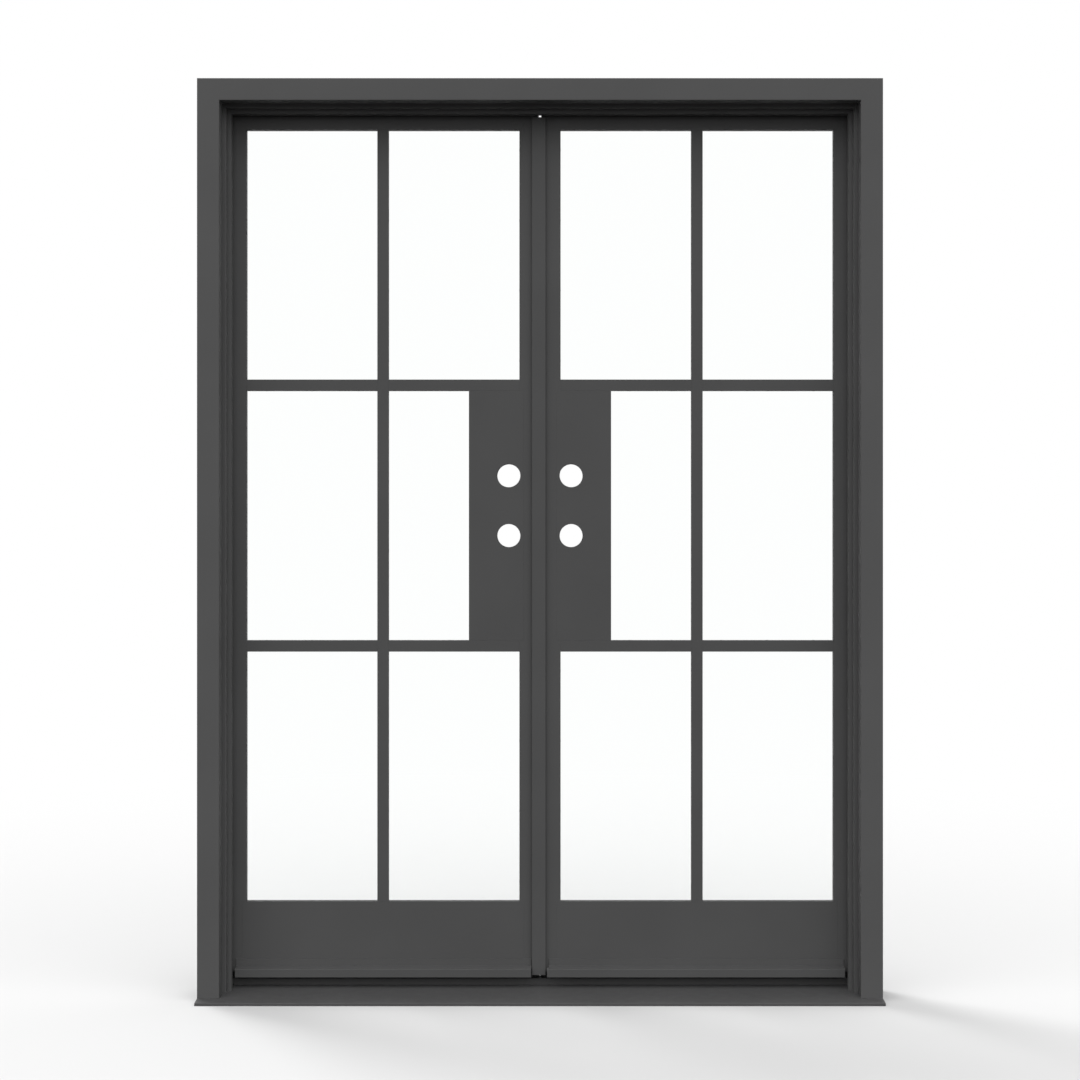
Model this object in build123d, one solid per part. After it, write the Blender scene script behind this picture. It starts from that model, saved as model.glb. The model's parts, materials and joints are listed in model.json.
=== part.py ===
"""A steel double door: two glazed leaves that open inward in a welded tube frame.

Millimetres. X runs across the opening, Y from the street side to the room side, Z up.
The origin is on the floor, at mid width and mid depth of the frame.
Every leaf and jamb piece is drawn for the right-hand side, and mirrored for the left.
"""
import os

from build123d import *

# Frame of rectangular tube, mitred at the head
frame_width = 1562.0
frame_height = 2104.0
frame_depth = 150.0
tube_face = 50.8
tube_wall = 3.0
tube_corner = 2.0

# Anchor holes through each jamb, at a depth from the room face that the closed leaf hides
anchor_radius = 5.5
anchor_depth = 25.0
anchor_foot = 300.0
anchor_pitch = 500.0

# Folded stop with two steps, on the inside of the frame; its depths run from the closed leaf
stop_front_depth = 55.0
stop_step_depth = 35.0
stop_back_depth = 10.0
stop_first_projection = 9.5
stop_projection = 19.0
stop_sheet = 2.0
stop_edge_radius = 1.6

# Bulb seal behind the stop
seal_width = 9.5
seal_margin = 1.3
seal_hollow = 2.8
seal_clearance = 0.3

# Sloped sill with a raised saddle under the leaves; the riser's depth runs from the room face
nose_reach = 40.0
nose_height = 6.3
nose_radius = 2.5
riser_depth = 32.0
riser_foot = 16.2
saddle_height = 31.0
saddle_radius = 2.0
sill_wall = 3.0

# Leaves of tube stiles and rails with a glazing lip on the street side
leaf_thickness = 50.0
hinge_gap = 4.0
head_gap = 3.2
meeting_gap = 5.6
leaf_foot = 50.0
stile_width = 35.0
top_rail_height = 36.6
kick_height = 152.6
leaf_wall = 2.5
end_wall = 3.0
lip_width = 10.0
lip_thickness = 4.0

# Glazing
columns = 2
rows = 3
web_thickness = 6.0
web_depth = 34.0
glass_thickness = 8.0
glass_cover = 7.0
bead_depth = 12.0

# Lock box, beside the lock stile in the middle row; the lower bore's height runs from its foot
lock_row = 1
lock_box_width = 127.2
bore_radius = 27.0
bore_backset = 69.85
bore_spacing = 139.7
bore_height = 243.1
latch_radius = 12.7
strike_radius = 14.3

# Drip rail on the foot of each leaf
drip_height = 80.0
drip_flange = 16.0
drip_reach = 22.0
drip_fall = 4.0
drip_lip = 19.3
drip_sheet = 3.0
drip_bend = 2.0
drip_stop_gap = 6.2
drip_left_gap = 1.6
drip_right_gap = 3.0
drip_relief_gap = 8.0
drip_relief_depth = 13.0

# Sweep under each leaf
sweep_width = 10.0
sweep_back = 2.0
sweep_base = 5.0
sweep_fin = 2.0
sweep_inset = 4.0
sweep_clearance = 0.4
sweep_gap = 1.6

# Astragal on the left leaf, over the gap between the leaves
astragal_reach = 18.9
astragal_overlap = 13.1
astragal_plate = 6.0
astragal_rib = 3.0
astragal_drop = 6.4
astragal_head_gap = 3.2
astragal_edge = 1.2
strip_margin = 1.2
strip_clearance = 0.3

# Barrel hinges on the room side
hinge_count = 3
hinge_offset = 200.0
barrel_radius = 10.0
barrel_clearance = 0.5
barrel_edge = 1.5
knuckle_height = 45.0
washer_height = 3.0
pin_radius = 6.0
pin_clearance = 0.2
pin_cap = 6.0
wing_width = 38.0
wing_thickness = 4.0
wing_corner = 6.0

# Flush bolts in the lock stile of the left leaf
bolt_radius = 5.0
bolt_depth = 30.0
bolt_length = 350.0
bolt_recess = 1.0
bolt_travel = 30.0
bolt_clearance = 0.3
bolt_hole_radius = 6.5
bolt_plate_width = 22.0
bolt_plate_length = 110.0
bolt_plate_end = 36.0
bolt_lug_width = 16.0
bolt_lug_depth = 24.0
bolt_lug_height = 8.0
tab_width = 8.0
tab_height = 14.0
tab_offset = 6.0
tab_recess = 0.6

# How far a cutting shape runs past what it cuts
overrun = 5.0

# Places worked out from the sizes above
half_width = frame_width / 2
street_face = -frame_depth / 2
room_face = frame_depth / 2
jamb_inner = half_width - tube_face
head_underside = frame_height - tube_face
riser = room_face - riser_depth
anchor_count = int((head_underside - anchor_foot) / anchor_pitch) + 1

leaf_front = room_face - leaf_thickness
stop_back = leaf_front - stop_back_depth
stop_head = head_underside - stop_projection
leaf_top = head_underside - head_gap
leaf_middle = (leaf_foot + leaf_top) / 2
hinge_edge = jamb_inner - hinge_gap
meeting_edge = meeting_gap / 2
hinge_body = hinge_edge - stile_width
lock_body = meeting_edge + stile_width

lip_back = leaf_front + lip_thickness
glass_back = lip_back + glass_thickness
bead_back = glass_back + bead_depth
web_back = leaf_front + web_depth
bar_face = web_thickness + 2 * lip_width

kick_top = leaf_foot + kick_height
rail_foot = leaf_top - top_rail_height
lites_left = lock_body + lip_width
lites_right = hinge_body - lip_width
lites_foot = kick_top + lip_width
lites_top = rail_foot - lip_width
lite_width = (lites_right - lites_left - (columns - 1) * bar_face) / columns
lite_height = (lites_top - lites_foot - (rows - 1) * bar_face) / rows
column_spans = [
    (lites_left + i * (lite_width + bar_face), lites_left + i * (lite_width + bar_face) + lite_width)
    for i in range(columns)
]
row_spans = [
    (lites_foot + i * (lite_height + bar_face), lites_foot + i * (lite_height + bar_face) + lite_height)
    for i in range(rows)
]
lock_span = row_spans[lock_row]
lock_edge = lock_body + lock_box_width
bore_places = [
    (meeting_edge + bore_backset, lock_span[0] + bore_height),
    (meeting_edge + bore_backset, lock_span[0] + bore_height + bore_spacing),
]

hinge_x = jamb_inner - hinge_gap / 2
hinge_y = room_face + barrel_radius + barrel_clearance
hinge_pitch = (leaf_top - leaf_foot - 2 * hinge_offset) / (hinge_count - 1)
hinge_heights = [leaf_foot + hinge_offset + i * hinge_pitch for i in range(hinge_count)]
bolt_x = meeting_edge + stile_width / 2
bolt_y = leaf_front + bolt_depth
bolt_plate_foot = leaf_top - bolt_recess - bolt_length + bolt_plate_end


def outlined(*points):
    """A flat face inside a closed run of straight edges."""
    return make_face(Polyline(*points, close=True))


def block(x, y, z):
    """A box between the low and high ends given for each axis."""
    size = (x[1] - x[0], y[1] - y[0], z[1] - z[0])
    return Pos(x[0], y[0], z[0]) * Box(*size, align=(Align.MIN, Align.MIN, Align.MIN))


def hollow(x, y, z, ends):
    """A closed tube: a box with the leaf's wall, and end plates across the named axis."""
    wall = {axis: end_wall if axis == ends else leaf_wall for axis in "xyz"}
    room = [(span[0] + wall[axis], span[1] - wall[axis]) for axis, span in zip("xyz", (x, y, z))]
    return block(x, y, z) - block(*room)


def crossways(outline, start, end):
    """Extrude a (y, z) outline along X."""
    return extrude(Plane.YZ.offset(start) * outline, end - start)


def upright(outline, foot, top):
    """Extrude an (x, y) outline along Z."""
    return extrude(Pos(0, 0, foot) * outline, top - foot)


def eased(outline, corners, radius):
    """Round the named corners of an outline."""
    picked = [outline.vertices().sort_by_distance(corner)[0] for corner in corners]
    return fillet(picked, radius)


def across_leaf(x, z, radius):
    """A round cutter along Y, through the whole leaf."""
    length = leaf_thickness + 2 * overrun
    return Pos(x, leaf_front + leaf_thickness / 2, z) * Rot(X=90) * Cylinder(radius, length)


def mirrored(shape):
    """The left-hand twin of a right-hand piece."""
    return mirror(shape, about=Plane.YZ)


def group(pieces):
    """Separate solids that share one node."""
    return Compound([solid for piece in pieces for solid in piece.solids()])


# Frame: each section is drawn once, with x measured inward from the tube and y along the depth
jamb_plane = Plane((jamb_inner, 0, frame_height), x_dir=(-1, 0, 0), z_dir=(0, 0, -1))
head_plane = Plane((0, 0, head_underside), x_dir=(0, 0, -1), z_dir=(1, 0, 0))


def tube_section():
    outer = RectangleRounded(tube_face, frame_depth, tube_corner)
    inner = Rectangle(tube_face - 2 * tube_wall, frame_depth - 2 * tube_wall)
    return Pos(-tube_face / 2, 0) * (outer - inner)


def stop_section():
    """Folded sheet, open towards the tube it is welded to."""
    front = leaf_front - stop_front_depth
    step = leaf_front - stop_step_depth
    outer = outlined(
        (0, front), (stop_first_projection, front), (stop_first_projection, step),
        (stop_projection, step), (stop_projection, stop_back), (0, stop_back),
    )
    outer = eased(outer, [(stop_first_projection, front), (stop_projection, step)], stop_edge_radius)
    first_wall = stop_first_projection - stop_sheet
    last_wall = stop_projection - stop_sheet
    room = outlined(
        (-overrun, front + stop_sheet), (first_wall, front + stop_sheet),
        (first_wall, step + stop_sheet), (last_wall, step + stop_sheet),
        (last_wall, stop_back - stop_sheet), (-overrun, stop_back - stop_sheet),
    )
    return outer - room


def seal_section():
    """D-shaped bulb with a round hollow, just clear of the closed leaf."""
    radius = seal_width / 2
    middle = stop_projection - seal_margin - radius
    crown = leaf_front - seal_clearance - radius
    foot = Pos(middle, (stop_back + crown) / 2) * Rectangle(seal_width, crown - stop_back)
    bulb = Pos(middle, crown) * Circle(radius)
    return foot + bulb - Pos(middle, crown) * Circle(seal_hollow)


def mitre_wedge():
    """What belongs to the head: all that lies above the two mitre planes."""
    half = half_width + overrun
    top = frame_height + overrun
    face = outlined((0, head_underside - jamb_inner), (half, top), (-half, top))
    return extrude(Plane.XZ * face, frame_depth, both=True)


def sill_section():
    nose = street_face - nose_reach
    outline = outlined(
        (nose, 0), (room_face, 0), (room_face, saddle_height),
        (riser, saddle_height), (riser, riser_foot), (nose, nose_height),
    )
    outline = eased(outline, [(nose, nose_height)], nose_radius)
    return eased(outline, [(riser, saddle_height)], saddle_radius)


def sill_block():
    return crossways(sill_section(), -half_width, half_width)


def sill():
    """Closed hollow section, with a keep for the bottom bolt in the saddle."""
    nose = street_face - nose_reach
    slope = (riser_foot - nose_height) / (riser - nose)
    room_front = street_face
    room_step = riser + sill_wall
    room_back = room_face - sill_wall
    ceiling = saddle_height - sill_wall
    room = outlined(
        (room_front, sill_wall), (room_back, sill_wall), (room_back, ceiling), (room_step, ceiling),
        (room_step, nose_height + slope * (room_step - nose) - sill_wall),
        (room_front, nose_height + slope * (room_front - nose) - sill_wall),
    )
    cavity = crossways(room, sill_wall - half_width, half_width - sill_wall)
    keep = Cylinder(bolt_hole_radius, 2 * sill_wall)
    return sill_block() - cavity - Pos(-bolt_x, bolt_y, saddle_height) * keep


def along_jamb(section):
    """Run a section up the right jamb, from the sill to the mitre."""
    bar = extrude(jamb_plane * section, frame_height)
    return bar - mitre_wedge() - sill_block()


def along_head(section):
    """Run a section along the head, between the mitres."""
    return extrude(head_plane * section, half_width, both=True) & mitre_wedge()


def jamb():
    tube = along_jamb(tube_section())
    for i in range(anchor_count):
        place = Pos(half_width - tube_face / 2, room_face - anchor_depth, anchor_foot + i * anchor_pitch)
        tube -= place * Rot(Y=90) * Cylinder(anchor_radius, tube_face + 2 * overrun)
    return tube


def head():
    """Head tube, with a keep for the top bolt in its underside."""
    keep = Cylinder(bolt_hole_radius, 2 * tube_wall)
    return along_head(tube_section()) - Pos(-bolt_x, bolt_y, head_underside) * keep


def frame_seal():
    side = along_jamb(seal_section())
    return side + along_head(seal_section()) + mirrored(side)


# Leaf
def hinge_stile():
    body = hollow((hinge_body, hinge_edge), (leaf_front, room_face), (leaf_foot, leaf_top), "z")
    return body + block((lites_right, hinge_body), (leaf_front, lip_back), (lites_foot, lites_top))


def lock_stile():
    """Lock stile; its lip stops where the lock box takes over."""
    stile = hollow((meeting_edge, lock_body), (leaf_front, room_face), (leaf_foot, leaf_top), "z")
    for foot, top in ((lites_foot, lock_span[0]), (lock_span[1], lites_top)):
        stile += block((lock_body, lites_left), (leaf_front, lip_back), (foot, top))
    return stile


def edge_drills(radius, depth):
    """Cutters into the meeting edge, level with the lock bores."""
    drill = Rot(Y=90) * Cylinder(
        radius, depth + 2 * overrun, align=(Align.CENTER, Align.CENTER, Align.MIN)
    )
    return [Pos(meeting_edge - overrun, leaf_front + leaf_thickness / 2, z) * drill for _, z in bore_places]


def latch_holes():
    """Through the stile into the lock box, for the latch of a lock in the bore there."""
    return edge_drills(latch_radius, stile_width + leaf_wall)


def strike_holes():
    """Through the edge of the other leaf, where the latch shoots in."""
    return edge_drills(strike_radius, leaf_wall)


def rail(foot, top, lip_foot, lip_top):
    """A tube between the stiles with its glazing lip."""
    body = hollow((lock_body, hinge_body), (leaf_front, room_face), (foot, top), "x")
    return body + block((lock_body, hinge_body), (leaf_front, lip_back), (lip_foot, lip_top))


def upright_bar():
    """T-section bar between the two columns of lites, coped over the rails' lips."""
    left = column_spans[0][1]
    right = column_spans[1][0]
    flange = block((left, right), (leaf_front, lip_back), (lites_foot, lites_top))
    web = block((left + lip_width, right - lip_width), (lip_back, web_back), (kick_top, rail_foot))
    return flange + web


def cross_bars():
    """T-section bars between the rows of lites, in two lengths at each height."""
    bars = []
    for below, above in zip(row_spans, row_spans[1:]):
        for left, right in column_spans:
            flange = block((left, right), (leaf_front, lip_back), (below[1], above[0]))
            web_z = (below[1] + lip_width, above[0] - lip_width)
            web = block((left - lip_width, right + lip_width), (lip_back, web_back), web_z)
            bars.append(flange + web)
    return group(bars)


def lock_box():
    """Closed box beside the lock stile, with a glazing lip and two lock bores."""
    body_z = (lock_span[0] - lip_width, lock_span[1] + lip_width)
    body_x = (lock_body, lock_edge - lip_width)
    room_x = (body_x[0] + leaf_wall, body_x[1] - leaf_wall)
    room_z = (body_z[0] + leaf_wall, body_z[1] - leaf_wall)
    front_wall = lip_back + leaf_wall
    plate = block((lock_body, lock_edge), (leaf_front, lip_back), lock_span)
    body = block(body_x, (lip_back, room_face), body_z)
    room = block(room_x, (front_wall, room_face - leaf_wall), room_z)
    window = block(room_x, (lip_back, front_wall), (lock_span[0] + leaf_wall, lock_span[1] - leaf_wall))
    box = plate + (body - room - window)
    bores = [across_leaf(x, z, bore_radius) for x, z in bore_places]
    return box - bores


def lites():
    """The daylight spans of the panes, row by row; the lock box narrows one of them."""
    spans = []
    for row, z in enumerate(row_spans):
        for column, x in enumerate(column_spans):
            start = lock_edge if (row, column) == (lock_row, 0) else x[0]
            spans.append(((start, x[1]), z))
    return spans


def pane(x, z):
    """Glass held behind the lip, with room around its edges."""
    wide = (x[0] - glass_cover, x[1] + glass_cover)
    high = (z[0] - glass_cover, z[1] + glass_cover)
    return block(wide, (lip_back, glass_back), high)


def bead_ring(x, z):
    """Four mitred strips that hold one pane from the room side."""
    inner = [(x[0], z[0]), (x[1], z[0]), (x[1], z[1]), (x[0], z[1])]
    far_x = (x[0] - lip_width, x[1] + lip_width)
    far_z = (z[0] - lip_width, z[1] + lip_width)
    outer = [(far_x[0], far_z[0]), (far_x[1], far_z[0]), (far_x[1], far_z[1]), (far_x[0], far_z[1])]
    strips = []
    for i in range(len(inner)):
        j = (i + 1) % len(inner)
        face = outlined(outer[i], outer[j], inner[j], inner[i])
        strips.append(extrude(Plane.XZ.offset(-bead_back) * face, bead_depth))
    return strips


def beads():
    return group([strip for x, z in lites() for strip in bead_ring(x, z)])


def drip_rail(start):
    """Folded sheet: a flange on the leaf, a falling ledge and a lip that sheds the water."""
    flange_face = leaf_front - drip_sheet
    lip_face = leaf_front - drip_reach
    bend = drip_height - drip_flange
    nose = bend - drip_fall
    outline = outlined(
        (leaf_front, drip_height), (flange_face, drip_height), (flange_face, bend), (lip_face, nose),
        (lip_face, nose - drip_lip), (lip_face + drip_sheet, nose - drip_lip),
        (lip_face + drip_sheet, nose - drip_sheet), (leaf_front, bend - drip_sheet),
    )
    outline = eased(outline, [(lip_face, nose)], drip_bend)
    return crossways(outline, start, jamb_inner - stop_projection - drip_stop_gap)


def right_drip_rail():
    """The right rail's flange and ledge stop short, so that the astragal passes them."""
    relief = block(
        (0, astragal_overlap + drip_relief_gap),
        (leaf_front - drip_relief_depth, leaf_front + overrun),
        (0, drip_height + overrun),
    )
    return drip_rail(astragal_overlap + drip_right_gap) - relief


def sweep():
    """Rubber strip with two fins that brush the saddle, as far as the other leaf's."""
    back = room_face - sweep_back
    front = back - sweep_width
    tip = saddle_height + sweep_clearance
    base = outlined(
        (front, leaf_foot), (back, leaf_foot),
        (back, leaf_foot - sweep_base), (front, leaf_foot - sweep_base),
    )
    for fin in (front, back - sweep_fin):
        base += Pos(fin, tip) * Rectangle(sweep_fin, leaf_foot - tip, align=(Align.MIN, Align.MIN))
    return crossways(base, sweep_gap / 2, hinge_edge - sweep_inset)


# Hinges
def barrel(foot):
    return Pos(hinge_x, hinge_y, foot) * Cylinder(
        barrel_radius, knuckle_height, align=(Align.CENTER, Align.CENTER, Align.MIN)
    )


def wing(x, foot, free_end):
    """Flat plate welded to the room face, with rounded free corners."""
    plate = block(x, (room_face, room_face + wing_thickness), (foot, foot + knuckle_height))
    return fillet(plate.edges().filter_by(Axis.Y).group_by(Axis.X)[free_end], wing_corner)


def pin_bore(foot, radius):
    return Pos(hinge_x, hinge_y, foot) * Cylinder(
        radius, knuckle_height - pin_cap, align=(Align.CENTER, Align.CENTER, Align.MIN)
    )


def hinge_frame_half(height):
    """Lower knuckle, closed at its foot, with its wing on the jamb."""
    foot = height - washer_height / 2 - knuckle_height
    knuckle = barrel(foot)
    knuckle = fillet(knuckle.edges().sort_by(Axis.Z)[0], barrel_edge)
    plate = wing((jamb_inner, jamb_inner + wing_width), foot, -1)
    return knuckle + plate - pin_bore(foot + pin_cap, pin_radius)


def hinge_leaf_half(height):
    """Upper knuckle, closed at its top, with its wing on the hinge stile."""
    foot = height + washer_height / 2
    knuckle = barrel(foot)
    knuckle = fillet(knuckle.edges().sort_by(Axis.Z)[-1], barrel_edge)
    plate = wing((hinge_edge - wing_width, hinge_edge), foot, 0)
    return knuckle + plate - pin_bore(foot, pin_radius + pin_clearance)


def hinge_pin(height):
    reach = knuckle_height - pin_cap
    foot = height - washer_height / 2 - reach
    length = 2 * reach + washer_height - pin_clearance
    return Pos(hinge_x, hinge_y, foot) * Cylinder(
        pin_radius, length, align=(Align.CENTER, Align.CENTER, Align.MIN)
    )


def hinge_washer(height):
    ring = Cylinder(barrel_radius, washer_height) - Cylinder(pin_radius + pin_clearance, washer_height)
    return Pos(hinge_x, hinge_y, height) * ring


# Left leaf's own pieces, drawn on the right-hand side like the rest
def astragal():
    """Flat bar with a rib that stands it off the leaf."""
    back = leaf_front - astragal_rib
    front = back - astragal_plate
    outline = outlined(
        (-astragal_overlap, front), (astragal_reach, front), (astragal_reach, leaf_front),
        (meeting_edge, leaf_front), (meeting_edge, back), (-astragal_overlap, back),
    )
    outline = eased(outline, [(-astragal_overlap, front), (astragal_reach, front)], astragal_edge)
    return upright(outline, leaf_foot - astragal_drop, stop_head - astragal_head_gap)


def astragal_strip():
    """Seal in the pocket behind the bar, just clear of the other leaf."""
    x = (strip_margin - astragal_overlap, -meeting_edge - strip_margin)
    y = (leaf_front - astragal_rib, leaf_front - strip_clearance)
    return block(x, y, (leaf_foot, stop_head - astragal_head_gap))


def tab_foot():
    return bolt_plate_foot + bolt_lug_height + tab_offset


def top_bolt():
    """Rod with a thumb tab that reaches through the edge plate."""
    rod = Pos(bolt_x, bolt_y, leaf_top - bolt_recess) * Cylinder(
        bolt_radius, bolt_length, align=(Align.CENTER, Align.CENTER, Align.MAX)
    )
    tab = block(
        (meeting_edge + tab_recess, bolt_x),
        (bolt_y - tab_width / 2, bolt_y + tab_width / 2),
        (tab_foot(), tab_foot() + tab_height),
    )
    return rod + tab


def bolt_plate_span():
    """Where the edge plate lets into the stile's wall."""
    return (
        (meeting_edge, meeting_edge + leaf_wall),
        (bolt_y - bolt_plate_width / 2, bolt_y + bolt_plate_width / 2),
        (bolt_plate_foot, bolt_plate_foot + bolt_plate_length),
    )


def top_bolt_plate():
    """Edge plate with a slot for the tab and two lugs that guide the rod."""
    x, y, z = bolt_plate_span()
    plate = block(x, y, z)
    lug_y = (bolt_y - bolt_lug_width / 2, bolt_y + bolt_lug_width / 2)
    for foot in (z[0], z[1] - bolt_lug_height):
        plate += block((x[1], x[1] + bolt_lug_depth), lug_y, (foot, foot + bolt_lug_height))
    slot_half = tab_width / 2 + bolt_clearance
    slot_z = (tab_foot() - bolt_clearance, tab_foot() + tab_height + bolt_travel + bolt_clearance)
    plate -= block((x[0] - overrun, x[1] + overrun), (bolt_y - slot_half, bolt_y + slot_half), slot_z)
    return plate - bolt_path(z[0] - overrun)


def bolt_path(foot):
    """The clear way of the rod, from a height up through the leaf's top."""
    return Pos(bolt_x, bolt_y, foot) * Cylinder(
        bolt_radius + bolt_clearance, leaf_top + overrun - foot, align=(Align.CENTER, Align.CENTER, Align.MIN)
    )


def turned_over(shape):
    """The lower twin of an upper piece."""
    return mirror(shape, about=Plane.XY.offset(leaf_middle))


def bolted_lock_stile():
    """Lock stile of the left leaf, cut for the two flush bolts and the strikes."""
    cut = bolt_path(leaf_top - end_wall - overrun) + block(*bolt_plate_span())
    return lock_stile() - strike_holes() - cut - turned_over(cut)


def leaf_pieces():
    """The pieces that both leaves have, on the right-hand side."""
    pieces = {
        "hinge_stile": hinge_stile(),
        "top_rail": rail(rail_foot, leaf_top, lites_top, rail_foot),
        "kick_panel": rail(leaf_foot, kick_top, kick_top, lites_foot),
        "upright_bar": upright_bar(),
        "cross_bars": cross_bars(),
        "lock_box": lock_box(),
        "sweep": sweep(),
        "beads": beads(),
    }
    for i, (x, z) in enumerate(lites()):
        pieces[f"glass_{i + 1}"] = pane(x, z)
    for i, height in enumerate(hinge_heights):
        pieces[f"hinge_{i + 1}_leaf_half"] = hinge_leaf_half(height)
    return pieces


def frame_side_pieces():
    """The frame's pieces on the right-hand side."""
    pieces = {"jamb": jamb(), "stop": along_jamb(stop_section())}
    for i, height in enumerate(hinge_heights):
        pieces[f"hinge_{i + 1}_frame_half"] = hinge_frame_half(height)
    return pieces


def door():
    """Every node by name."""
    nodes = {
        "head": head(),
        "head_stop": along_head(stop_section()),
        "sill": sill(),
        "frame_seal": frame_seal(),
    }
    for name, piece in (frame_side_pieces() | leaf_pieces()).items():
        nodes[f"right_{name}"] = piece
        nodes[f"left_{name}"] = mirrored(piece)
    pins = [hinge_pin(height) for height in hinge_heights]
    washers = [hinge_washer(height) for height in hinge_heights]
    nodes["hinge_pins"] = group(pins + [mirrored(pin) for pin in pins])
    nodes["hinge_washers"] = group(washers + [mirrored(washer) for washer in washers])
    nodes["right_lock_stile"] = lock_stile() - latch_holes()
    nodes["right_lock_box"] = lock_box() - latch_holes()
    nodes["left_lock_stile"] = mirrored(bolted_lock_stile())
    nodes["right_drip_rail"] = right_drip_rail()
    nodes["left_drip_rail"] = mirrored(drip_rail(astragal_reach + drip_left_gap))
    nodes["astragal"] = mirrored(astragal())
    nodes["astragal_strip"] = mirrored(astragal_strip())
    nodes["top_bolt"] = mirrored(top_bolt())
    nodes["bottom_bolt"] = mirrored(turned_over(top_bolt()))
    plate = mirrored(top_bolt_plate())
    nodes["bolt_plates"] = group([plate, turned_over(plate)])
    return nodes


os.makedirs("parts", exist_ok=True)
for node, shape in door().items():
    export_step(shape, f"parts/{node}.step")
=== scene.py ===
"""Looks of a steel double door in its frame: satin paint, clear glass, rubber and bare steel.

Metres. X runs across the opening, Y from the street side to the room side, Z up.
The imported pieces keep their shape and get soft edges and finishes. Welds and screws are added.
"""
import json
import math

import bmesh
import bpy
from mathutils import Matrix, Vector


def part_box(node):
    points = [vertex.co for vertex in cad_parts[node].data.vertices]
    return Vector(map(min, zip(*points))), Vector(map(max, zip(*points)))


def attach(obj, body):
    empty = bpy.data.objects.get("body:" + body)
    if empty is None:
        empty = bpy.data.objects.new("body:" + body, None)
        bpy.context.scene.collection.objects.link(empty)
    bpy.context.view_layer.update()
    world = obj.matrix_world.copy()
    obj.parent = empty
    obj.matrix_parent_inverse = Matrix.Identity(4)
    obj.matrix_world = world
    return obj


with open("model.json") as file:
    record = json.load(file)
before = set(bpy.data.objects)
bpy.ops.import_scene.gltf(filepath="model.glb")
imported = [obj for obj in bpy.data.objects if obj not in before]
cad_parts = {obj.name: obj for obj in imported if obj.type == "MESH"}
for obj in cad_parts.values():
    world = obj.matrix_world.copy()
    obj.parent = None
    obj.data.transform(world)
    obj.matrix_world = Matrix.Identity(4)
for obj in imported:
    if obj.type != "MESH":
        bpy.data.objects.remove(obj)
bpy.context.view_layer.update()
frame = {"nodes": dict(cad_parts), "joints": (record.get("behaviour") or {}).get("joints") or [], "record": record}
nodes = frame["nodes"]
slot_of = {part["node"]: part["material_slot"] for part in frame["record"]["subparts"]}
hinges = [joint for joint in frame["joints"] if joint["type"] == "hinge"]
hinge_axis = {joint["name"].split("_")[0]: Vector(joint["pos_m"]) for joint in hinges}
SIDES = ("right", "left")
HINGE_NUMBERS = (1, 2, 3)
# The frame tubes and stops get a lighter copy of the leaves' paint: painted light, for the frame faces catching
# more light than the recessed leaves
TUBES_WITH_PAINTED_LIGHT = ("head", "right_jamb", "left_jamb", "head_stop", "right_stop", "left_stop")

# Camera, fitted to the photograph
CAMERA_PLACE = (0.0, -5.194, 1.1025)
CAMERA_TILT = math.radians(90)
CAMERA_LENS = 74.97
CAMERA_SENSOR = 36.0
CAMERA_LIFT_SHARE = -0.0204

# Stage and light
WHITE = (1.0, 1.0, 1.0)
FLOOR_SIZE = 80.0
FLOOR_COLOUR = (0.7, 0.7, 0.7)
FLOOR_FELT_COLOUR = (0.02, 0.02, 0.02)
FADE_START = 1.4
FADE_END = 4.5
SKY_STREET = 4.5
SKY_STREET_LOW_SHARE = 0.1
SKY_ROOM = 2.5
SKY_SIDES = 1.0
SKY_SIDES_POWER = 4
KEY_POWER = 1.3
KEY_ANGLE = math.radians(20)
KEY_DIRECTION = (-0.41, 0.53, 0.75)

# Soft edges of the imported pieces
MERGE_REACH = 0.00001
FLAT_ANGLE = math.radians(0.5)
EDGE_ANGLE = math.radians(40)
EDGE_WIDTH = 0.0003
EDGE_SEGMENTS = 2

# Welds round the hinges' wings
WING_CORNER = 0.006
WELD_LEG = 0.003
WELD_BULGE_SHARE = 0.14
WELD_SINK = 0.0004
WELD_STEP = 0.0004
WELD_RIPPLE = 0.0022
WELD_RIPPLE_SHARE = 0.12
WELD_RUN_OUT = 0.004
WELD_RUN_OUT_SHARE = 0.45
WELD_POINTS = 5
WELD_CLEARANCE = 0.004

# Countersunk screws
SCREW_SIDES = 24
SCREW_RADIUS = 0.0033
SCREW_PROUD = 0.0003
SCREW_EDGE = 0.0003
SCREW_DEPTH = 0.0015
CROSS_REACH = 0.0019
CROSS_HALF_WIDTH = 0.0004
CROSS_DEPTH = 0.0009
CROSS_FLOOR_SHARE = 0.6
BEAD_SCREW_SPACING = 0.21
BEAD_SCREW_END = 0.045
GLASS_BITE = 0.007
PLATE_SCREW_END = 0.0065

# Finishes, in linear light
# Frame colours: the leaves' paint made lighter, as painted light on the frame's faces
FRAME_PAINTED_LIT_DARK = (0.094, 0.094, 0.0945)
FRAME_PAINTED_LIT_LIGHT = (0.101, 0.101, 0.1015)
PAINT_DARK = (0.082, 0.082, 0.0825)
PAINT_LIGHT = (0.089, 0.089, 0.0895)
HINGE_DARK = (0.056, 0.056, 0.0565)
HINGE_LIGHT = (0.066, 0.066, 0.0665)
STEEL_DARK = (0.42, 0.42, 0.41)
STEEL_LIGHT = (0.62, 0.62, 0.61)
RUBBER_DARK = (0.010, 0.010, 0.010)
RUBBER_LIGHT = (0.020, 0.020, 0.020)
GLASS_TINT = (0.985, 0.995, 0.99)
GLASS_IOR = 1.5
GLASS_SHADE = (0.75, 0.75, 0.75)

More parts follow.
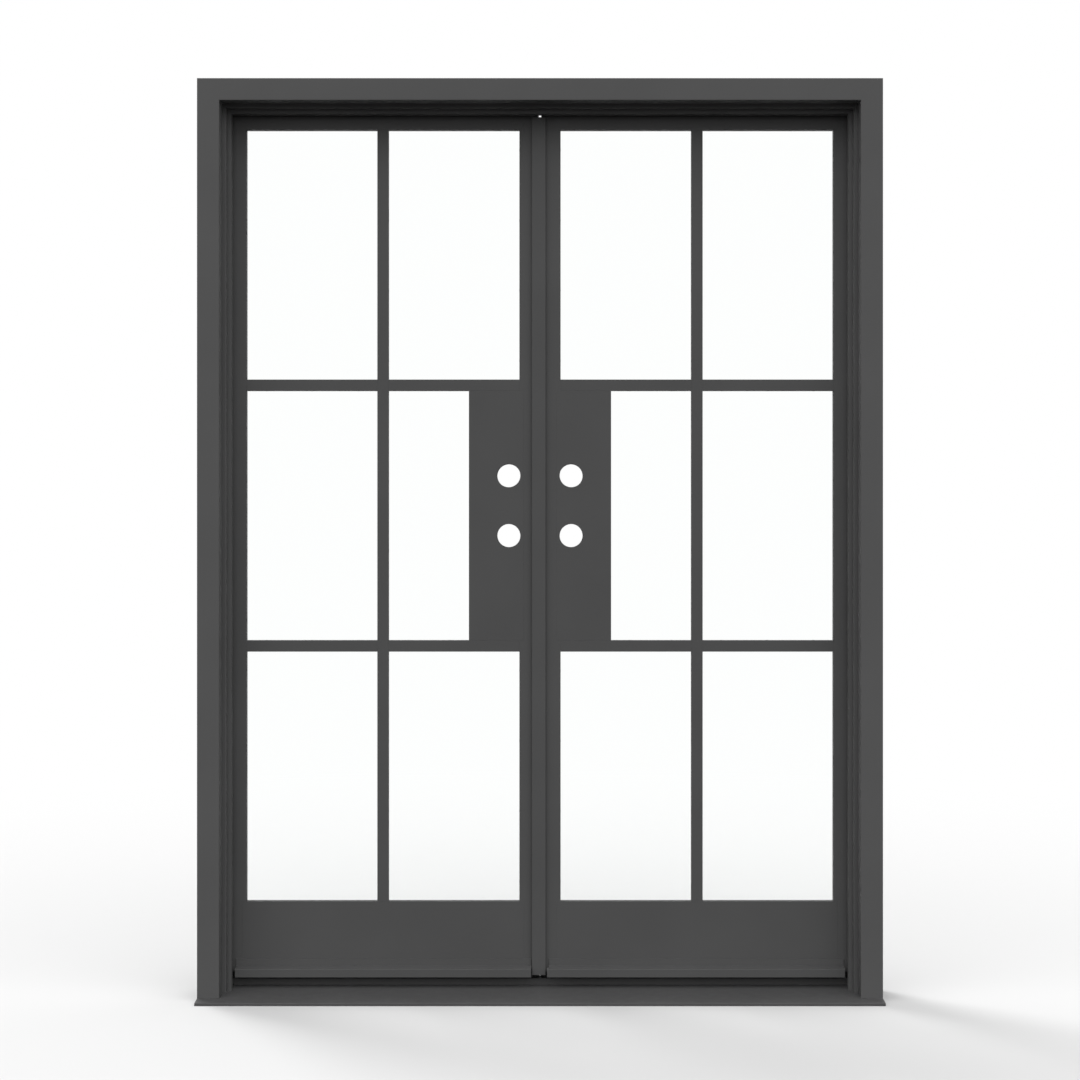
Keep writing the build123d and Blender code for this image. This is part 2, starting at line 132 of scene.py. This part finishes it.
# Grain of the finishes: noise scales per metre, roughness from low to high, heights in metres
NOISE_LOW = 0.3
NOISE_HIGH = 0.7
PAINT_SPECULAR_LEVEL = 0.06
PAINT_CLOUD_SCALE = 5
PAINT_CLOUD_DETAIL = 4
PAINT_SHEEN_SCALE = 40
PAINT_SHEEN_DETAIL = 3
PAINT_ROUGHNESS = (0.40, 0.52)
PAINT_PEEL_SCALE = 700
PAINT_PEEL_DETAIL = 2
PAINT_PEEL_STRENGTH = 0.12
PAINT_PEEL_HEIGHT = 0.0003
STEEL_LINE_SCALE = 60
STEEL_LINE_DETAIL = 4
STEEL_LINE_STRETCH = (40, 40, 1)
STEEL_LINE_STRENGTH = 0.1
STEEL_LINE_HEIGHT = 0.0001
STEEL_ROUGHNESS = (0.25, 0.42)
RUBBER_GRAIN_SCALE = 900
RUBBER_GRAIN_DETAIL = 3
RUBBER_GRAIN_STRENGTH = 0.25
RUBBER_GRAIN_HEIGHT = 0.0002
RUBBER_ROUGHNESS = (0.6, 0.8)


# Materials
def new_material(name):
    """A material with its node tree and its shader."""
    made = bpy.data.materials.new(name)
    made.use_nodes = True
    return made, made.node_tree, made.node_tree.nodes["Principled BSDF"]


def noise(tree, scale, detail, stretch=(1, 1, 1)):
    """Noise in the part's own metres, with a scale of its own along each axis."""
    place = tree.nodes.new("ShaderNodeTexCoord")
    mapping = tree.nodes.new("ShaderNodeMapping")
    mapping.inputs["Scale"].default_value = stretch
    texture = tree.nodes.new("ShaderNodeTexNoise")
    texture.inputs["Scale"].default_value = scale
    texture.inputs["Detail"].default_value = detail
    tree.links.new(place.outputs["Object"], mapping.inputs["Vector"])
    tree.links.new(mapping.outputs["Vector"], texture.inputs["Vector"])
    return texture.outputs["Fac"]


def spread(tree, value, low, high):
    """Carry the middle of a noise over to a range."""
    node = tree.nodes.new("ShaderNodeMapRange")
    node.inputs["From Min"].default_value = NOISE_LOW
    node.inputs["From Max"].default_value = NOISE_HIGH
    node.inputs["To Min"].default_value = low
    node.inputs["To Max"].default_value = high
    tree.links.new(value, node.inputs["Value"])
    return node.outputs["Result"]


def tint(tree, value, dark, light):
    """A colour between two, by a noise."""
    node = tree.nodes.new("ShaderNodeValToRGB")
    node.color_ramp.elements[0].color = (*dark, 1)
    node.color_ramp.elements[1].color = (*light, 1)
    tree.links.new(spread(tree, value, 0, 1), node.inputs["Fac"])
    return node.outputs["Color"]


def roughen(tree, shader, height, strength, distance):
    """Bump from a height on the shader's normal."""
    node = tree.nodes.new("ShaderNodeBump")
    node.inputs["Strength"].default_value = strength
    node.inputs["Distance"].default_value = distance
    tree.links.new(height, node.inputs["Height"])
    tree.links.new(node.outputs["Normal"], shader.inputs["Normal"])


def add_shader(tree, kind, colour):
    """A shader node of one kind, with its colour set."""
    node = tree.nodes.new(kind)
    node.inputs["Color"].default_value = (*colour, 1)
    return node


def mix_shaders(tree, share, first, second):
    """The first shader where the share is 0, the second where it is 1."""
    node = tree.nodes.new("ShaderNodeMixShader")
    tree.links.new(share, node.inputs[0])
    tree.links.new(first.outputs[0], node.inputs[1])
    tree.links.new(second.outputs[0], node.inputs[2])
    return node


def paint(name, dark, light):
    """Satin powder coat: an even grey with a faint cloud and a fine orange peel."""
    made, tree, shader = new_material(name)
    shader.inputs["Specular IOR Level"].default_value = PAINT_SPECULAR_LEVEL
    cloud = noise(tree, PAINT_CLOUD_SCALE, PAINT_CLOUD_DETAIL)
    sheen = noise(tree, PAINT_SHEEN_SCALE, PAINT_SHEEN_DETAIL)
    peel = noise(tree, PAINT_PEEL_SCALE, PAINT_PEEL_DETAIL)
    tree.links.new(tint(tree, cloud, dark, light), shader.inputs["Base Color"])
    tree.links.new(spread(tree, sheen, *PAINT_ROUGHNESS), shader.inputs["Roughness"])
    roughen(tree, shader, peel, PAINT_PEEL_STRENGTH, PAINT_PEEL_HEIGHT)
    return made


def bare_steel():
    """Bright steel with fine lines along its length."""
    made, tree, shader = new_material("bare_steel")
    shader.inputs["Metallic"].default_value = 1.0
    lines = noise(tree, STEEL_LINE_SCALE, STEEL_LINE_DETAIL, STEEL_LINE_STRETCH)
    tree.links.new(tint(tree, lines, STEEL_DARK, STEEL_LIGHT), shader.inputs["Base Color"])
    tree.links.new(spread(tree, lines, *STEEL_ROUGHNESS), shader.inputs["Roughness"])
    roughen(tree, shader, lines, STEEL_LINE_STRENGTH, STEEL_LINE_HEIGHT)
    return made


def rubber():
    """Matt black rubber with a fine grain."""
    made, tree, shader = new_material("rubber")
    grain = noise(tree, RUBBER_GRAIN_SCALE, RUBBER_GRAIN_DETAIL)
    tree.links.new(tint(tree, grain, RUBBER_DARK, RUBBER_LIGHT), shader.inputs["Base Color"])
    tree.links.new(spread(tree, grain, *RUBBER_ROUGHNESS), shader.inputs["Roughness"])
    roughen(tree, shader, grain, RUBBER_GRAIN_STRENGTH, RUBBER_GRAIN_HEIGHT)
    return made


def glass():
    """Clear glass that keeps some of the lamps' light back from what is behind it."""
    made, tree, shader = new_material("glass")
    shader.inputs["Base Color"].default_value = (*GLASS_TINT, 1)
    shader.inputs["Roughness"].default_value = 0.0
    shader.inputs["IOR"].default_value = GLASS_IOR
    shader.inputs["Transmission Weight"].default_value = 1.0
    path = tree.nodes.new("ShaderNodeLightPath")
    shade = add_shader(tree, "ShaderNodeBsdfTransparent", GLASS_SHADE)
    surface = mix_shaders(tree, path.outputs["Is Shadow Ray"], shader, shade)
    tree.links.new(surface.outputs[0], tree.nodes["Material Output"].inputs["Surface"])
    return made


finishes = {
    # The frame's paint is a lighter copy of the satin paint: painted light
    "frame_paint_painted_light": paint("paint_frame", FRAME_PAINTED_LIT_DARK, FRAME_PAINTED_LIT_LIGHT),
    "paint": paint("paint_satin", PAINT_DARK, PAINT_LIGHT),
    "hinge_paint": paint("paint_hinges", HINGE_DARK, HINGE_LIGHT),
    "bare_steel": bare_steel(),
    "glass": glass(),
    "rubber": rubber(),
}


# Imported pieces
def soften(piece):
    """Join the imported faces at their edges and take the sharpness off."""
    merge = piece.modifiers.new("weld", "WELD")
    merge.merge_threshold = MERGE_REACH
    flat = piece.modifiers.new("flat", "DECIMATE")
    flat.decimate_type = "DISSOLVE"
    flat.angle_limit = FLAT_ANGLE
    bevel = piece.modifiers.new("bevel", "BEVEL")
    bevel.width = EDGE_WIDTH
    bevel.segments = EDGE_SEGMENTS
    bevel.limit_method = "ANGLE"
    bevel.angle_limit = EDGE_ANGLE
    piece.modifiers.new("normals", "WEIGHTED_NORMAL")


def dress_nodes():
    """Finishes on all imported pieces, and soft edges on all but the glass and its beads."""
    for name, piece in nodes.items():
        slot = slot_of[name]
        # Painted light: the frame tubes and stops take the lighter copy of the paint
        finish = "frame_paint_painted_light" if name in TUBES_WITH_PAINTED_LIGHT else slot
        for material_slot in piece.material_slots:
            material_slot.material = finishes[finish]
        if slot == "glass":
            piece.visible_diffuse = False
        elif not name.endswith("_beads"):
            soften(piece)


# Added pieces
def new_piece(name, mesh, body, slot):
    """A mesh as a piece of the scene that rides on a body."""
    bmesh.ops.recalc_face_normals(mesh, faces=mesh.faces)
    data = bpy.data.meshes.new(name)
    mesh.to_mesh(data)
    mesh.free()
    data.materials.append(finishes[slot])
    piece = bpy.data.objects.new(name, data)
    bpy.context.scene.collection.objects.link(piece)
    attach(piece, body)


def strip(mesh, ring, next_ring):
    """Faces between two closed rings of as many points."""
    for k in range(len(ring)):
        mesh.faces.new((ring[k - 1], ring[k], next_ring[k], next_ring[k - 1]))


def wing_route(near, far, foot, top):
    """Places round a wing's three free sides and rounded corners, with the direction outward."""
    side = math.copysign(1, far - near)
    turn = far - side * WING_CORNER
    low = foot + WING_CORNER
    high = top - WING_CORNER
    stops = [
        (near, low, -90),
        (turn, low, -90),
        (turn, low, 0),
        (turn, high, 0),
        (turn, high, 90),
        (near, high, 90),
    ]
    route = []
    for (x, z, degrees), (next_x, next_z, next_degrees) in zip(stops, stops[1:]):
        arc = math.radians(next_degrees - degrees) * WING_CORNER
        count = math.ceil((math.hypot(next_x - x, next_z - z) + arc) / WELD_STEP)
        for k in range(count):
            share = k / count
            angle = math.radians(degrees + (next_degrees - degrees) * share)
            out = Vector((side * math.cos(angle), 0, math.sin(angle)))
            centre = Vector((x + (next_x - x) * share, 0, z + (next_z - z) * share))
            route.append((centre + out * WING_CORNER, out))
    return route


def weld(mesh, route, depth):
    """Rippled fillet between a wing's edge and the face that it lies on at a depth."""
    length = WELD_STEP * len(route)
    rings = []
    for k, (place, out) in enumerate(route):
        along = k * WELD_STEP
        ripple = 1 - WELD_RIPPLE_SHARE * (1 - abs(math.sin(math.pi * along / WELD_RIPPLE)))
        to_end = min(1, min(along, length - along) / WELD_RUN_OUT)
        leg = WELD_LEG * ripple * (WELD_RUN_OUT_SHARE + (1 - WELD_RUN_OUT_SHARE) * to_end)
        section = []
        for step in range(WELD_POINTS + 1):
            share = step / WELD_POINTS
            bulge = WELD_BULGE_SHARE * leg * math.sin(math.pi * share)
            section.append((leg * share + bulge, leg * (1 - share) + bulge))
        section += [(leg, -WELD_SINK), (-WELD_SINK, -WELD_SINK), (-WELD_SINK, leg)]
        corners = [place + out * away + Vector((0, depth + up, 0)) for away, up in section]
        rings.append([mesh.verts.new(corner) for corner in corners])
    for ring, next_ring in zip(rings, rings[1:]):
        strip(mesh, ring, next_ring)
    mesh.faces.new(rings[0])
    mesh.faces.new(rings[-1])
    for face in mesh.faces:
        face.smooth = True


def hinge_welds(name, body, halves):
    """Welds round the wings of some hinge halves, which stop short of the knuckles."""
    mesh = bmesh.new()
    for half in halves:
        low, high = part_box(half)
        axis = hinge_axis[half.split("_")[0]]
        far = max((low.x, high.x), key=lambda x: abs(x - axis.x))
        knuckle_radius = high.y - axis.y
        near = axis.x + math.copysign(knuckle_radius + WELD_CLEARANCE, far - axis.x)
        weld(mesh, wing_route(near, far, low.z, high.z), low.y)
    new_piece(name, mesh, body, "hinge_paint")


def circle(radius):
    """Points of a screw head's round outline."""
    turns = [math.tau * k / SCREW_SIDES for k in range(SCREW_SIDES)]
    return [(radius * math.cos(turn), radius * math.sin(turn)) for turn in turns]


def cross(share):
    """Outline of a cross recess, twelve points."""
    half = CROSS_HALF_WIDTH * share
    reach = CROSS_REACH * share
    arm = [(half, half), (half, reach), (-half, reach)]
    quarter_turns = [(1, 0), (0, 1), (-1, 0), (0, -1)]
    return [(x * c - y * s, x * s + y * c) for c, s in quarter_turns for x, y in arm]


def screw(mesh, place, out):
    """Countersunk head with a cross recess, let into the face at a place."""
    matrix = Matrix.Translation(place) @ out.to_track_quat("Z", "Y").to_matrix().to_4x4()

    def ring(points, height):
        return [mesh.verts.new(matrix @ Vector((x, y, height))) for x, y in points]

    foot = ring(circle(SCREW_RADIUS), -SCREW_DEPTH)
    rim = ring(circle(SCREW_RADIUS), SCREW_PROUD - SCREW_EDGE)
    top = ring(circle(SCREW_RADIUS - SCREW_EDGE), SCREW_PROUD)
    recess = ring(cross(1), SCREW_PROUD)
    recess_floor = ring(cross(CROSS_FLOOR_SHARE), SCREW_PROUD - CROSS_DEPTH)
    strip(mesh, foot, rim)
    strip(mesh, rim, top)
    strip(mesh, recess, recess_floor)
    mesh.faces.new(foot)
    mesh.faces.new(recess_floor)
    edges = [mesh.edges.get((loop[k - 1], loop[k])) for loop in (top, recess) for k in range(len(loop))]
    bmesh.ops.triangle_fill(mesh, edges=edges, use_beauty=True)


def screw_places(low, high):
    """Places along one run, an end distance from its ends and no further apart than the spacing."""
    first = low + BEAD_SCREW_END
    last = high - BEAD_SCREW_END
    count = math.ceil((last - first) / BEAD_SCREW_SPACING)
    return [first + (last - first) * k / count for k in range(count + 1)]


def bead_screws(side):
    """Screws through the beads, on the faces that look into each lite."""
    mesh = bmesh.new()
    bead_low, bead_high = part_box(f"{side}_beads")
    depth = (bead_low.y + bead_high.y) / 2
    for pane in (name for name in nodes if name.startswith(f"{side}_glass_")):
        low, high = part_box(pane)
        left, right = low.x + GLASS_BITE, high.x - GLASS_BITE
        foot, top = low.z + GLASS_BITE, high.z - GLASS_BITE
        for height in screw_places(foot, top):
            screw(mesh, Vector((left, depth, height)), Vector((1, 0, 0)))
            screw(mesh, Vector((right, depth, height)), Vector((-1, 0, 0)))
        for across in screw_places(left, right):
            screw(mesh, Vector((across, depth, foot)), Vector((0, 0, 1)))
            screw(mesh, Vector((across, depth, top)), Vector((0, 0, -1)))
    new_piece(f"{side}_bead_screws", mesh, f"{side}_leaf", "hinge_paint")


def plate_screws():
    """Two screws in each flush bolt's plate, near its ends."""
    mesh = bmesh.new()
    low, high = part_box("bolt_plates")
    middle = (low.z + high.z) / 2
    heights = [vertex.co.z for vertex in nodes["bolt_plates"].data.vertices]
    for plate in ([z for z in heights if z < middle], [z for z in heights if z > middle]):
        for height in (min(plate) + PLATE_SCREW_END, max(plate) - PLATE_SCREW_END):
            screw(mesh, Vector((high.x, (low.y + high.y) / 2, height)), Vector((1, 0, 0)))
    new_piece("bolt_plate_screws", mesh, "left_leaf", "bare_steel")


# Stage, light and camera
def reckon(tree, operation, first, second):
    """Result of a sum on two sockets or numbers."""
    node = tree.nodes.new("ShaderNodeMath")
    node.operation = operation
    for value, socket in zip((first, second), node.inputs):
        if isinstance(value, (int, float)):
            socket.default_value = value
        else:
            tree.links.new(value, socket)
    return node.outputs[0]


def seen_ray(tree):
    """1 for rays of the camera, of mirrors and through glass, and 0 for the rest."""
    path = tree.nodes.new("ShaderNodeLightPath")
    total = path.outputs["Is Camera Ray"]
    for kind in ("Is Glossy Ray", "Is Transmission Ray"):
        total = reckon(tree, "MAXIMUM", total, path.outputs[kind])
    return total


def floor():
    """Pale floor with the door's shadow, fading to white further out and throwing little light back."""
    bpy.ops.mesh.primitive_plane_add(size=FLOOR_SIZE)
    ground = bpy.context.object
    ground.name = "floor"
    made = bpy.data.materials.new("floor")
    made.use_nodes = True
    made.cycles.emission_sampling = "NONE"
    tree = made.node_tree
    tree.nodes.clear()
    place = tree.nodes.new("ShaderNodeTexCoord")
    reach = tree.nodes.new("ShaderNodeVectorMath")
    reach.operation = "LENGTH"
    fade = tree.nodes.new("ShaderNodeMapRange")
    fade.interpolation_type = "SMOOTHSTEP"
    fade.inputs["From Min"].default_value = FADE_START
    fade.inputs["From Max"].default_value = FADE_END
    tree.links.new(place.outputs["Object"], reach.inputs[0])
    tree.links.new(reach.outputs["Value"], fade.inputs["Value"])
    near = add_shader(tree, "ShaderNodeBsdfDiffuse", FLOOR_COLOUR)
    far = add_shader(tree, "ShaderNodeEmission", WHITE)
    felt = add_shader(tree, "ShaderNodeBsdfDiffuse", FLOOR_FELT_COLOUR)
    shown = mix_shaders(tree, fade.outputs["Result"], near, far)
    surface = mix_shaders(tree, seen_ray(tree), felt, shown)
    out = tree.nodes.new("ShaderNodeOutputMaterial")
    tree.links.new(surface.outputs[0], out.inputs["Surface"])
    ground.data.materials.append(made)


def sky():
    """White to look at. As a light it has banks over the street, over the room and to both sides."""
    world = bpy.data.worlds.new("sky")
    bpy.context.scene.world = world
    world.use_nodes = True
    tree = world.node_tree
    tree.nodes.clear()
    place = tree.nodes.new("ShaderNodeTexCoord")
    axes = tree.nodes.new("ShaderNodeSeparateXYZ")
    tree.links.new(place.outputs["Generated"], axes.inputs[0])
    height = reckon(tree, "MAXIMUM", axes.outputs["Z"], 0)
    to_street = reckon(tree, "MAXIMUM", reckon(tree, "MULTIPLY", axes.outputs["Y"], -1), 0)
    to_room = reckon(tree, "MAXIMUM", axes.outputs["Y"], 0)
    to_sides = reckon(tree, "ABSOLUTE", axes.outputs["X"], 0)
    street = reckon(tree, "MULTIPLY", to_street, reckon(tree, "ADD", height, SKY_STREET_LOW_SHARE))
    room = reckon(tree, "MULTIPLY", to_room, height)
    sides = reckon(tree, "POWER", to_sides, SKY_SIDES_POWER)
    level = reckon(tree, "MULTIPLY", street, SKY_STREET)
    level = reckon(tree, "ADD", level, reckon(tree, "MULTIPLY", room, SKY_ROOM))
    level = reckon(tree, "ADD", level, reckon(tree, "MULTIPLY", sides, SKY_SIDES))
    lit = add_shader(tree, "ShaderNodeBackground", WHITE)
    tree.links.new(level, lit.inputs["Strength"])
    seen = add_shader(tree, "ShaderNodeBackground", WHITE)
    surface = mix_shaders(tree, seen_ray(tree), lit, seen)
    out = tree.nodes.new("ShaderNodeOutputWorld")
    tree.links.new(surface.outputs[0], out.inputs["Surface"])


def key_light():
    """Soft light from high behind on the left, which draws the shadow on the floor."""
    data = bpy.data.lights.new("key", "SUN")
    data.energy = KEY_POWER
    data.angle = KEY_ANGLE
    lamp = bpy.data.objects.new("key", data)
    bpy.context.scene.collection.objects.link(lamp)
    lamp.rotation_euler = Vector(KEY_DIRECTION).to_track_quat("Z", "Y").to_euler()


def camera():
    """The photograph's view: level, from the street side."""
    data = bpy.data.cameras.new("camera")
    data.lens = CAMERA_LENS
    data.sensor_width = CAMERA_SENSOR
    data.shift_y = CAMERA_LIFT_SHARE
    view = bpy.data.objects.new("camera", data)
    bpy.context.scene.collection.objects.link(view)
    view.location = CAMERA_PLACE
    view.rotation_euler = (CAMERA_TILT, 0, 0)
    bpy.context.scene.camera = view


dress_nodes()
frame_halves = [f"{side}_hinge_{k}_frame_half" for side in SIDES for k in HINGE_NUMBERS]
hinge_welds("frame_hinge_welds", "frame", frame_halves)
for side in SIDES:
    leaf_halves = [f"{side}_hinge_{k}_leaf_half" for k in HINGE_NUMBERS]
    hinge_welds(f"{side}_hinge_welds", f"{side}_leaf", leaf_halves)
    bead_screws(side)
plate_screws()
floor()
sky()
key_light()
camera()
bpy.context.scene.view_settings.view_transform = "Standard"
